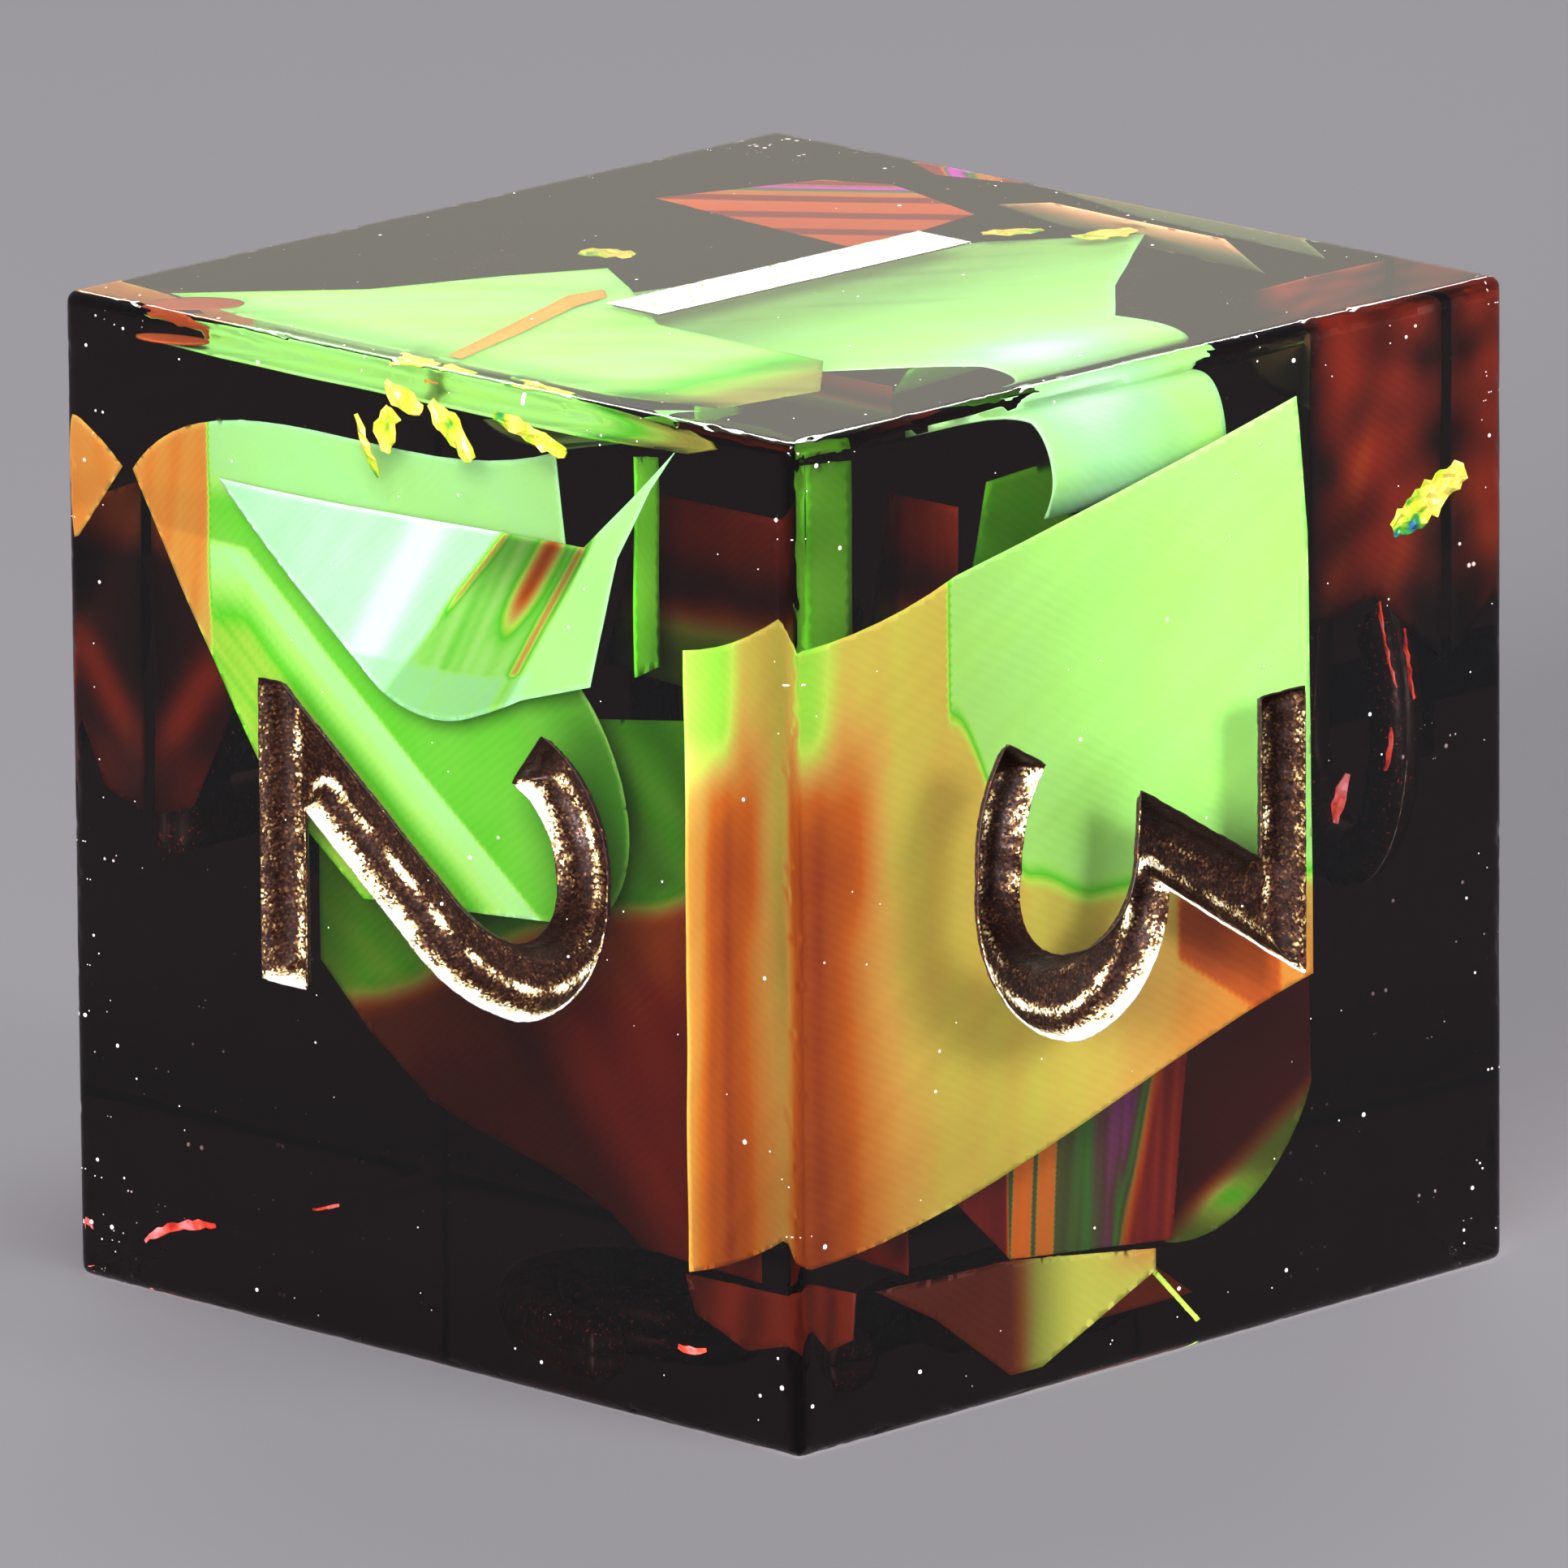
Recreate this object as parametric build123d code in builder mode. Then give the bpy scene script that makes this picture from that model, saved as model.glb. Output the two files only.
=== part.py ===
from build123d import *
import os

# A handmade six-sided die: one clear resin cube cast around pieces of iridescent film,
# with six engraved numerals whose grooves are lined with metallic paint.
# Millimetres. Origin: middle of the bottom face. +Z up. -Y carries the 2, +X the 3, +Z the 1.

# Driving dimensions
SIDE = 16.0                # standard size of a six-sided die
HALF = SIDE / 2
EDGE_RADIUS = 0.2          # edges are left almost sharp after polishing
ENGRAVING_DEPTH = 0.6
COAT = 0.15                # paint lining of a groove
STROKE = 1.0               # width of a numeral's stroke
FILM = 0.06                # thickness of the cast-in film
SPECK = 0.12               # thickness of a foil flake

# Where a straight-footed numeral ends, above and below its own middle
TOP = 3.8
BOTTOM = -3.7


def one():
    """A plain bar."""
    with BuildSketch() as glyph:
        with Locations((-0.45, 0.6)):
            Rectangle(1.15, 7.0)
    return glyph.sketch


def two():
    """A hooked bowl on a long diagonal, standing on a straight foot."""
    with BuildSketch() as glyph:
        with BuildLine():
            Polyline((0.30, 0.45), (-2.45, -3.20), (-2.45, BOTTOM), (2.40, BOTTOM))
            Polyline((2.40, BOTTOM), (2.40, BOTTOM + STROKE), (-0.50, BOTTOM + STROKE), (1.10, -0.60))
            ThreePointArc((1.10, -0.60), (1.85, 0.60), (2.10, 1.90))
            ThreePointArc((2.10, 1.90), (1.40, 3.30), (-0.25, 3.95))
            ThreePointArc((-0.25, 3.95), (-1.70, 3.60), (-2.55, 2.55))
            Line((-2.55, 2.55), (-1.70, 1.90))
            ThreePointArc((-1.70, 1.90), (-1.15, 2.60), (-0.35, 2.87))
            ThreePointArc((-0.35, 2.87), (0.50, 2.62), (0.88, 1.90))
            ThreePointArc((0.88, 1.90), (0.72, 1.15), (0.30, 0.45))
        make_face()
    return glyph.sketch


def three():
    """A flat top, a diagonal back into the middle, and an open round bowl."""
    with BuildSketch() as glyph:
        with BuildLine():
            Polyline((0.50, 0.30), (2.45, 3.40), (-2.20, 3.40), (-2.20, 2.40), (0.40, 2.40), (-1.20, -0.32))
            Line((-1.20, -0.32), (-0.25, -0.38))
            ThreePointArc((-0.25, -0.38), (0.82, -0.88), (1.12, -1.90))
            ThreePointArc((1.12, -1.90), (0.72, -2.78), (-0.40, -3.00))
            ThreePointArc((-0.40, -3.00), (-1.30, -2.85), (-2.00, -2.44))
            Line((-2.00, -2.44), (-2.48, -3.30))
            ThreePointArc((-2.48, -3.30), (-1.50, -3.83), (-0.40, -3.94))
            ThreePointArc((-0.40, -3.94), (1.75, -3.25), (2.54, -1.75))
            ThreePointArc((2.54, -1.75), (2.05, -0.42), (0.50, 0.30))
        make_face()
    return glyph.sketch


def four():
    """A closed four with a triangular counter."""
    stem_left = 0.50
    stem_right = stem_left + STROKE
    bar_top = -0.95
    bar_bottom = bar_top - STROKE
    with BuildSketch() as glyph:
        with BuildLine():
            Polyline((stem_left, TOP), (stem_right, TOP), (stem_right, bar_top), (2.40, bar_top))
            Polyline((2.40, bar_top), (2.40, bar_bottom), (stem_right, bar_bottom), (stem_right, BOTTOM))
            Polyline((stem_right, BOTTOM), (stem_left, BOTTOM), (stem_left, bar_bottom))
            Polyline((stem_left, bar_bottom), (-2.50, bar_bottom), (-2.50, bar_top), (stem_left, TOP))
        make_face()
        with BuildLine():
            Polyline((stem_left, bar_top), (-1.25, bar_top), (stem_left, 1.85), close=True)
        make_face(mode=Mode.SUBTRACT)
    return glyph.sketch


def five():
    """A flat top, a leaning stem and an open round bowl."""
    with BuildSketch() as glyph:
        with BuildLine():
            Polyline((-1.20, 1.05), (-1.05, TOP - STROKE), (2.05, TOP - STROKE), (2.05, TOP), (-1.95, TOP))
            Polyline((-1.95, TOP), (-2.20, -0.20), (-0.40, 0.05))
            ThreePointArc((-0.40, 0.05), (1.45, -1.30), (-0.20, -2.85))
            ThreePointArc((-0.20, -2.85), (-1.15, -2.72), (-1.85, -2.20))
            Line((-1.85, -2.20), (-2.40, -3.00))
            ThreePointArc((-2.40, -3.00), (-1.35, -3.65), (-0.20, -3.85))
            ThreePointArc((-0.20, -3.85), (2.45, -1.25), (-1.20, 1.05))
        make_face()
    return glyph.sketch


def six():
    """A round bowl with a tail that sweeps up to the right."""
    bowl_centre = -1.40
    bowl_radius = 2.35
    with BuildSketch() as glyph:
        with Locations((0, bowl_centre)):
            Circle(bowl_radius)
        with BuildLine():
            ThreePointArc((-bowl_radius, bowl_centre), (-1.55, 2.10), (1.35, TOP))
            Line((1.35, TOP), (1.75, 2.95))
            ThreePointArc((1.75, 2.95), (-0.35, 1.75), (-1.20, -0.20))
            Line((-1.20, -0.20), (-bowl_radius, bowl_centre))
        make_face()
        with Locations((0, bowl_centre)):
            Circle(bowl_radius - STROKE, mode=Mode.SUBTRACT)
    return glyph.sketch


# The numerals on the four sides lie on their side: their own right points down the die.
DOWN = (0, 0, -1)
NUMERALS = {
    "numeral_1": (one(), Plane.XY.offset(SIDE)),
    "numeral_2": (two(), Plane((0, -HALF, HALF), x_dir=DOWN, z_dir=(0, -1, 0))),
    "numeral_3": (three(), Plane((HALF, 0, HALF), x_dir=DOWN, z_dir=(1, 0, 0))),
    "numeral_4": (four(), Plane((-HALF, 0, HALF), x_dir=DOWN, z_dir=(-1, 0, 0))),
    "numeral_5": (five(), Plane((0, HALF, HALF), x_dir=DOWN, z_dir=(0, 1, 0))),
    "numeral_6": (six(), Plane((0, 0, 0), x_dir=(1, 0, 0), z_dir=DOWN)),
}


def save(piece, name):
    piece.part.label = name
    export_step(piece.part, f"parts/{name}.step")


def painted_groove(glyph, face):
    """The paint that lines one engraved numeral: a shallow tray with the numeral's outline."""
    with BuildPart() as paint:
        with BuildSketch(face):
            add(glyph)
        extrude(amount=-ENGRAVING_DEPTH)
        with BuildSketch(face):
            add(glyph)
            offset(amount=-COAT, mode=Mode.REPLACE)
        extrude(amount=COAT - ENGRAVING_DEPTH, mode=Mode.SUBTRACT)
    return paint


def flat_film(plane, *corners):
    """A flat scrap of film with straight cut edges, centred on its plane."""
    with BuildPart() as film:
        with BuildSketch(plane):
            with BuildLine():
                Polyline(*corners, close=True)
            make_face()
        extrude(amount=FILM / 2, both=True)
    return film


def beside_front(depth):
    """An upright plane, this far behind the face that carries the 2."""
    return Plane.XZ.offset(HALF - depth)


def beside_right(depth):
    """An upright plane, this far behind the face that carries the 3."""
    return Plane.YZ.offset(HALF - depth)


def beside_back(depth):
    """An upright plane, this far in front of the face that carries the 5."""
    return Plane.XZ.offset(depth - HALF)


def under_top(depth):
    """A level plane, this far below the face that carries the 1."""
    return Plane.XY.offset(SIDE - depth)


os.makedirs("parts", exist_ok=True)

films = {}

# The largest sheet stands behind the 3 and bends away where it nears the front edge.
with BuildPart() as front_sheet:
    with BuildSketch():
        with BuildLine():
            Spline((5.45, -7.65), (5.72, -5.60), (6.30, -2.20), (7.02, 4.10))
        trace(line_width=FILM)
    extrude(amount=SIDE)
    with BuildSketch(Plane.YZ):
        with BuildLine():
            Spline((-7.60, 12.35), (-5.60, 12.40), (-3.40, 13.00))
            Polyline((-3.40, 13.00), (3.75, 14.70), (4.00, 12.50), (4.10, 5.35))
            Spline((4.10, 5.35), (-0.55, 3.95), (-4.30, 2.80), (-7.60, 2.50))
            Line((-7.60, 2.50), (-7.60, 12.35))
        make_face()
    extrude(amount=HALF, mode=Mode.INTERSECT)
films["front_sheet"] = front_sheet

# A gently bowed sheet fills the upper part of the face that carries the 2.
with BuildPart() as left_sheet:
    with BuildSketch():
        with BuildLine():
            Spline((-7.95, -5.30), (-6.00, -5.75), (-2.00, -5.90), (3.20, -5.55))
        trace(line_width=FILM)
    extrude(amount=SIDE)
    with BuildSketch(Plane.XZ):
        with BuildLine():
            Spline((-7.88, 12.90), (-6.90, 13.65), (-5.20, 14.15), (-2.00, 14.25), (1.70, 14.70))
            Polyline((1.70, 14.70), (2.20, 11.00))
            Spline((2.20, 11.00), (3.05, 9.60), (3.15, 8.40), (2.75, 7.60))
            Polyline((2.75, 7.60), (1.70, 7.20), (-2.50, 6.90), (-4.60, 8.40), (-6.10, 10.45), (-7.88, 12.90))
        make_face()
    extrude(amount=HALF, mode=Mode.INTERSECT)
films["left_sheet"] = left_sheet

# A curl with a pointed tip lies just under the 2, in front of the left sheet.
with BuildPart() as mint_curl:
    with BuildSketch():
        with BuildLine():
            Spline((-5.40, -6.45), (-1.50, -6.75), (1.50, -6.60), (4.95, -6.85))
        trace(line_width=FILM)
    extrude(amount=SIDE)
    with BuildSketch(Plane.XZ):
        with BuildLine():
            Polyline((-1.80, 10.60), (-5.35, 13.25), (2.80, 13.45), (4.90, 15.30), (4.30, 14.60), (3.55, 13.40))
            Polyline((3.55, 13.40), (3.10, 12.00), (2.90, 11.25), (1.40, 10.80))
            Spline((1.40, 10.80), (0.60, 10.45), (-0.30, 10.20), (-1.80, 10.60),
                   tangents=((-1, -0.5), (-1, 0.8)))
        make_face()
    extrude(amount=HALF, mode=Mode.INTERSECT)
films["mint_curl"] = mint_curl

# The deepest of the upright sheets shows dark green behind the 2 and red towards the bottom.
with BuildPart() as inner_sheet:
    with BuildSketch(beside_front(3.9)):
        with BuildLine():
            Polyline((-2.10, 3.60), (-3.30, 4.40), (-4.45, 5.40), (-4.45, 8.60), (-3.00, 9.60), (3.60, 10.60))
            Polyline((3.60, 10.60), (5.20, 9.50), (5.20, 1.90), (2.60, 2.00))
            Spline((2.60, 2.00), (0.60, 2.90), (-0.80, 3.20), (-2.10, 3.60))
        make_face()
    extrude(amount=FILM / 2, both=True)
films["inner_sheet"] = inner_sheet

# The top sheet runs level under the 1, then turns down behind the 3.
with BuildPart() as top_sheet:
    with BuildSketch(Plane.XZ):
        with BuildLine():
            Spline((-3.00, 14.30), (2.00, 14.70), (4.80, 15.15), (5.95, 15.05), (6.32, 14.45), (6.15, 13.60))
        trace(line_width=FILM)
    extrude(amount=HALF, both=True)
    with BuildSketch():
        with BuildLine():
            Polyline((-2.30, -1.00), (-0.80, 5.30), (0.90, 7.30), (3.40, 4.00), (5.00, 2.30), (7.00, 2.60))
            Polyline((7.00, 2.60), (7.00, -1.10), (5.90, -1.60), (4.30, -3.50), (1.00, -3.90), (-2.30, -1.00))
        make_face()
    extrude(amount=SIDE, mode=Mode.INTERSECT)
films["top_sheet"] = top_sheet

# Offcut with one round-cut side, low behind the 3.
with BuildPart() as round_offcut:
    with BuildSketch(beside_right(2.5)):
        with BuildLine():
            Polyline((1.50, 1.35), (2.00, 6.30), (4.80, 6.50), (4.85, 3.30))
            Spline((4.85, 3.30), (4.00, 2.05), (2.90, 1.40), (1.50, 1.35))
        make_face()
    extrude(amount=FILM / 2, both=True)
films["round_offcut"] = round_offcut

films["top_left_sheet"] = flat_film(
    under_top(0.72),
    (-7.0, -6.6), (-4.9, -4.3), (-4.0, -2.2), (-3.2, -0.7), (-1.9, -1.5), (0.2, -3.0), (3.9, -3.1), (5.3, -4.6),
    (5.0, -6.5), (3.1, -7.0), (-5.0, -7.0))
films["striped_top_sheet"] = flat_film(
    under_top(2.0), (-7.0, 4.2), (-6.0, 7.0), (-4.9, 7.5), (-2.4, 6.8), (-1.9, 3.7))
films["olive_sheet"] = flat_film(
    beside_front(5.2), (1.2, 11.0), (2.2, 13.9), (5.1, 13.9), (5.1, 11.2), (3.1, 10.9))
films["green_strip"] = flat_film(
    beside_right(4.9), (-5.1, 11.3), (-5.1, 14.8), (-4.1, 14.7), (-4.1, 11.4))
films["dark_green_offcut"] = flat_film(
    beside_right(3.4), (-2.3, 12.4), (-1.9, 14.1), (-0.3, 14.2), (0.1, 12.9))
films["striped_offcut"] = flat_film(
    beside_right(2.1), (-3.4, 3.0), (-2.1, 5.2), (1.9, 5.2), (1.45, 1.45), (-2.2, 1.85))
films["corner_offcut"] = flat_film(
    beside_right(0.75),
    (-5.9, 2.2), (-2.9, 2.1), (0.35, 1.65), (0.35, 1.3), (-2.2, 0.25), (-2.9, 0.25), (-4.6, 1.5))
films["lower_sliver"] = flat_film(
    beside_right(2.8), (-0.8, 0.35), (2.3, 0.35), (1.3, 1.05), (0.4, 1.2))
films["left_red_offcut"] = flat_film(
    beside_front(3.4), (-7.88, 12.6), (-6.6, 12.1), (-5.7, 10.3), (-6.3, 8.8), (-7.0, 7.5), (-7.88, 7.2))
films["right_red_offcut"] = flat_film(
    beside_right(2.5), (4.8, 10.6), (4.9, 15.4), (7.88, 15.4), (7.88, 9.6), (6.4, 10.9))
films["front_red_offcut"] = flat_film(
    beside_front(1.7), (4.7, 2.2), (7.2, 2.25), (7.1, 1.5), (6.0, 1.2), (4.9, 1.6))
films["back_offcut"] = flat_film(
    beside_back(0.7), (3.5, 13.2), (2.6, 15.4), (-1.2, 15.5), (-2.4, 14.4), (-0.7, 13.6))
films["orange_strip"] = flat_film(
    under_top(0.45),
    (-0.5, -6.9), (-1.4, -4.5), (-2.1, -2.7), (-2.0, -2.0), (-1.6, -2.3), (-1.5, -3.1), (-0.8, -5.0), (-0.2, -6.9))
films["green_thread"] = flat_film(
    beside_right(1.0), (0.50, 1.25), (1.50, 0.25), (1.42, 0.22), (0.42, 1.20))

# A round scrap lies level in the corner over the 2 and the 4.
with BuildPart() as red_disc:
    with BuildSketch(under_top(0.6)):
        with Locations((-6.1, -6.9)):
            Ellipse(0.75, 0.45, rotation=45)
    extrude(amount=FILM / 2, both=True)
films["red_disc"] = red_disc

# Loose bits of foil: middle, length, width and turn in the plane of the nearest face.
with BuildPart() as foil_flakes:
    for middle, length, width, turn in (
        ((-1.62, -7.2, 14.42), 1.05, 0.18, -62), ((-0.80, -7.2, 15.33), 0.85, 0.36, -18),
        ((-1.15, -7.2, 14.75), 0.75, 0.45, 80), ((0.25, -7.2, 14.95), 1.20, 0.40, -38),
        ((1.95, -7.2, 15.15), 1.60, 0.30, -14),
    ):
        with BuildSketch(Plane(middle, x_dir=(1, 0, 0), z_dir=(0, -1, 0))):
            Rectangle(length, width, rotation=turn)
        extrude(amount=SPECK / 2, both=True)
    with BuildSketch(Plane((7.45, 6.55, 12.55), x_dir=(0, 1, 0), z_dir=(1, 0, 0))):
        Rectangle(1.80, 0.60, rotation=24)
    extrude(amount=SPECK / 2, both=True)
    for middle, length, width, turn in (
        ((-0.35, 5.55, 15.20), 1.00, 0.40, 60), ((0.80, 6.45, 15.20), 1.10, 0.55, 75),
        ((-4.00, 0.10, 15.20), 0.90, 0.60, 30),
    ):
        with BuildSketch(Plane(middle, x_dir=(1, 0, 0), z_dir=(0, 0, 1))):
            Rectangle(length, width, rotation=turn)
        extrude(amount=SPECK / 2, both=True)
films["foil_flakes"] = foil_flakes

# Thin red threads of film scattered low down and beside the 3.
with BuildPart() as red_flecks:
    for middle, across, length, width, turn in (
        ((-6.60, -6.2, 0.75), (1, 0, 0), 1.70, 0.15, 18), ((-3.30, -6.2, 1.80), (1, 0, 0), 0.60, 0.10, 15),
        ((5.30, -7.2, 1.20), (1, 0, 0), 0.60, 0.12, 5), ((6.2, 6.3, 10.2), (0, 1, 0), 1.50, 0.10, -75),
        ((6.2, 6.8, 9.8), (0, 1, 0), 1.20, 0.08, -80), ((6.2, 6.3, 8.5), (0, 1, 0), 0.70, 0.12, 80),
        ((6.2, 5.2, 7.9), (0, 1, 0), 0.80, 0.25, 70),
    ):
        with BuildSketch(Plane(middle, x_dir=across, z_dir=(across[1], -across[0], 0))):
            Rectangle(length, width, rotation=turn)
        extrude(amount=SPECK / 2, both=True)
films["red_flecks"] = red_flecks

# The casting: a cube with small edge radii, six grooves, and a pocket wherever film is cast in.
with BuildPart() as resin_body:
    Box(SIDE, SIDE, SIDE, align=(Align.CENTER, Align.CENTER, Align.MIN))
    fillet(resin_body.edges(), radius=EDGE_RADIUS)
    for glyph, face in NUMERALS.values():
        with BuildSketch(face):
            add(glyph)
        extrude(amount=-ENGRAVING_DEPTH, mode=Mode.SUBTRACT)
    for film in films.values():
        add(film.part, mode=Mode.SUBTRACT)
save(resin_body, "resin_body")

for name, (glyph, face) in NUMERALS.items():
    save(painted_groove(glyph, face), name)

for name, film in films.items():
    save(film, name)
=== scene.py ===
import math
import bmesh
import bpy
import numpy as np
from mathutils import Matrix, Vector, noise
from mathutils.bvhtree import BVHTree
from mathutils.geometry import delaunay_2d_cdt


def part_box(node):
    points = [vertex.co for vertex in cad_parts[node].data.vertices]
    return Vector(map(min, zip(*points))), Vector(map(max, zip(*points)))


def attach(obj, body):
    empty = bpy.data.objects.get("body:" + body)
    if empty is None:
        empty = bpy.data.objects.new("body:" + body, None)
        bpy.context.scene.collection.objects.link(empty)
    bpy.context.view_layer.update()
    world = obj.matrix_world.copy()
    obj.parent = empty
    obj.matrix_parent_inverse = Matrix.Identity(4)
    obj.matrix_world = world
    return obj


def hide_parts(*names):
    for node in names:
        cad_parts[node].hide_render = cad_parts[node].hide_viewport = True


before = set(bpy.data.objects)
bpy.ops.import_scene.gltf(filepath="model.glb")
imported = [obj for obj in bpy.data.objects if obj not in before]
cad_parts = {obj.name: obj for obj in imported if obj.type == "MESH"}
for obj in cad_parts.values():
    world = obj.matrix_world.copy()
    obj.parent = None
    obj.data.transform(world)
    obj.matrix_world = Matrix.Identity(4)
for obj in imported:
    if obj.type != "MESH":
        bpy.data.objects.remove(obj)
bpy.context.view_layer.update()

# ---------------------------------------------------------------- sizes, in millimetres

MM = 0.001                     # metres in a millimetre
low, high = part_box("resin_body")
SIDE = (high.x - low.x) / MM   # the cube's side
HALF = SIDE / 2
EDGE_RADIUS = 0.2              # the polished edge
GROOVE_DEPTH = 0.55            # deepest point of an engraved stroke
GROOVE_HALF_WIDTH = 0.5        # from a stroke's edge to its deepest line
PAINT_PROUD = 0.02             # paint above the groove's wall
PAINT_BOND = 0.015             # paint keyed into the resin
PAINT_LUMP = 0.012             # how far the paint's lumps rise and fall
FILM_THICKNESS = 0.03
RANDOM_SEED = 7

rng = np.random.default_rng(RANDOM_SEED)

# ---------------------------------------------------------------- clear the start-up objects

for spare in ("Cube", "Light", "Camera"):
    if spare in bpy.data.objects:
        bpy.data.objects.remove(bpy.data.objects[spare])

# ---------------------------------------------------------------- small helpers


def add_mesh(name, points_mm, faces, smooth_angle=None):
    """A mesh object from points in millimetres."""
    mesh = bpy.data.meshes.new(name)
    mesh.from_pydata([tuple(c * MM for c in p) for p in points_mm], [], faces)
    mesh.validate()
    if smooth_angle is not None:
        mesh.shade_smooth()
        mesh.set_sharp_from_angle(angle=math.radians(smooth_angle))
    piece = bpy.data.objects.new(name, mesh)
    bpy.context.scene.collection.objects.link(piece)
    return piece


def finish_piece(piece, slot, *nodes):
    """Fix the piece to the die and hide the CAD nodes that it stands for. The slot is not used."""
    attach(piece, "root")
    if nodes:
        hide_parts(*nodes)


def wave(points, size, seed):
    """Smooth noise from -1 to 1 at each point, with features of the given size."""
    shift = Vector((seed * 13.7, seed * 7.1, seed * 3.3))
    return np.array([noise.noise(Vector(p) / size + shift) for p in points])


def smooth_step(low_edge, high_edge, value):
    """0 below the low edge, 1 above the high edge, and an S-curve between."""
    t = np.clip((value - low_edge) / (high_edge - low_edge), 0, 1)
    return t * t * (3 - 2 * t)


def bump(value, middle, width):
    """1 at the middle, falling smoothly towards 0 beyond the width on both sides."""
    return np.exp(-((value - middle) / width) ** 2)


# ---------------------------------------------------------------- flat work: outlines and triangles


class Face:
    """One face of the cube: its middle, its two in-plane directions and its outward normal."""

    def __init__(self, normal, across):
        self.normal = np.array(normal, float)
        self.across = np.array(across, float)
        self.up = np.cross(self.normal, self.across)
        self.middle = np.array([0, 0, HALF]) + self.normal * HALF

    def flatten(self, points):
        """In-plane coordinates and height above the face."""
        offset = np.asarray(points, float) - self.middle
        return np.stack([offset @ self.across, offset @ self.up, offset @ self.normal], 1)

    def place(self, flat):
        """The inverse of flatten."""
        flat = np.asarray(flat, float)
        return self.middle + flat[:, :1] * self.across + flat[:, 1:2] * self.up + flat[:, 2:] * self.normal


TOP = Face((0, 0, 1), (1, 0, 0))
BOTTOM = Face((0, 0, -1), (1, 0, 0))
FRONT = Face((0, -1, 0), (1, 0, 0))
BACK = Face((0, 1, 0), (-1, 0, 0))
RIGHT = Face((1, 0, 0), (0, 1, 0))
LEFT = Face((-1, 0, 0), (0, -1, 0))
# A plane halfway between the top and the right, for the sheet that turns down from one to the other.
SLOPE = Face((math.sqrt(0.5), 0, math.sqrt(0.5)), (0, 1, 0))
SMOOTH_SIDE = 0.7              # neighbours whose normals agree this well lie on one side of a sheet
CAD_WELD = 0.001               # points of a CAD mesh nearer than this are one point


def welded(name):
    """The CAD node's mesh with its split corners joined, in millimetres."""
    shape = bmesh.new()
    shape.from_mesh(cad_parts[name].data)
    bmesh.ops.scale(shape, vec=Vector((1, 1, 1)) / MM, verts=shape.verts)
    bmesh.ops.remove_doubles(shape, verts=shape.verts, dist=CAD_WELD)
    shape.normal_update()
    return shape


def loops_of(shape, face, pointing):
    """Outlines of the shape's smooth side that points along the face's normal (1) or against it (-1).

    Each outline's points are given as the face's flatten gives them.
    """
    normal = Vector(face.normal) * pointing
    waiting = [max(shape.faces, key=lambda f: f.normal.dot(normal) * f.calc_area())]
    chosen = set(waiting)
    while waiting:
        at = waiting.pop()
        smooth = {g for edge in at.edges for g in edge.link_faces if g.normal.dot(at.normal) > SMOOTH_SIDE}
        waiting += smooth - chosen
        chosen |= smooth
    following = {}
    for f in shape.faces:
        if f not in chosen:
            continue
        for loop in f.loops:
            others = [g for g in loop.edge.link_faces if g is not f]
            if not any(g in chosen for g in others):
                following[loop.vert] = loop.link_loop_next.vert
    outlines = []
    while following:
        start, at = following.popitem()
        chain = [start]
        while at is not start:
            chain.append(at)
            at = following.pop(at)
        outlines.append(face.flatten([v.co for v in chain]))
    return outlines


def resample(outline, step):
    """The same outline with points no further apart than step, its corners kept."""
    points = []
    for a, b in zip(outline, np.roll(outline, -1, axis=0)):
        count = max(1, math.ceil(np.linalg.norm(b - a) / step))
        points += [a + (b - a) * k / count for k in range(count)]
    return np.array(points)


def inside(points, outlines):
    """Whether each point lies inside the outlines, counters left out."""
    odd = np.zeros(len(points), bool)
    x, y = points[:, 0], points[:, 1]
    for outline in outlines:
        for (x1, y1), (x2, y2) in zip(outline, np.roll(outline, -1, axis=0)):
            crosses = (y1 > y) != (y2 > y)
            with np.errstate(divide="ignore", invalid="ignore"):
                odd ^= crosses & (x < (x2 - x1) * (y - y1) / (y2 - y1) + x1)
    return odd


def distance_to(points, outlines):
    """Distance from each point to the nearest outline."""
    best = np.full(len(points), 1e9)
    for outline in outlines:
        for a, b in zip(outline, np.roll(outline, -1, axis=0)):
            along = b - a
            length_squared = max(along @ along, 1e-12)
            t = np.clip(((points - a) @ along) / length_squared, 0, 1)
            gap = points - a - t[:, None] * along
            best = np.minimum(best, np.hypot(gap[:, 0], gap[:, 1]))
    return best


def grid_inside(outlines, step, margin):
    """Grid points inside the outlines, no nearer to them than the margin. Rows are staggered."""
    everything = np.concatenate(outlines)
    lowest, highest = everything.min(0), everything.max(0)
    rows = []
    for k, y in enumerate(np.arange(lowest[1] + step / 2, highest[1], step * 0.87)):
        xs = np.arange(lowest[0] + step / 2 * (k % 2), highest[0], step)
        rows += [(x, y) for x in xs]
    points = np.array(rows)
    points = points[inside(points, outlines)]
    return points[distance_to(points, outlines) > margin]


def triangulate(outlines, loose):
    """Points and triangles over the outlines and the loose points, and which given point each one was."""
    points = []
    edges = []
    for outline in outlines:
        start = len(points)
        points += [Vector(p) for p in outline]
        edges += [(start + k, start + (k + 1) % len(outline)) for k in range(len(outline))]
    points += [Vector(p) for p in loose]
    made, _, triangles, came_from, _, _ = delaunay_2d_cdt(points, edges, [], 0, 1e-5)
    origin = np.array([ids[0] if ids else -1 for ids in came_from])
    return np.array([tuple(p) for p in made]), [tuple(t) for t in triangles], origin


# ---------------------------------------------------------------- materials


def new_material(name):
    """A node material with nothing but its output. Returns the material, its node tree and the output."""
    material = bpy.data.materials.new(name)
    material.use_nodes = True
    tree = material.node_tree
    tree.nodes.clear()
    output = tree.nodes.new("ShaderNodeOutputMaterial")
    return material, tree, output


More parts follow.
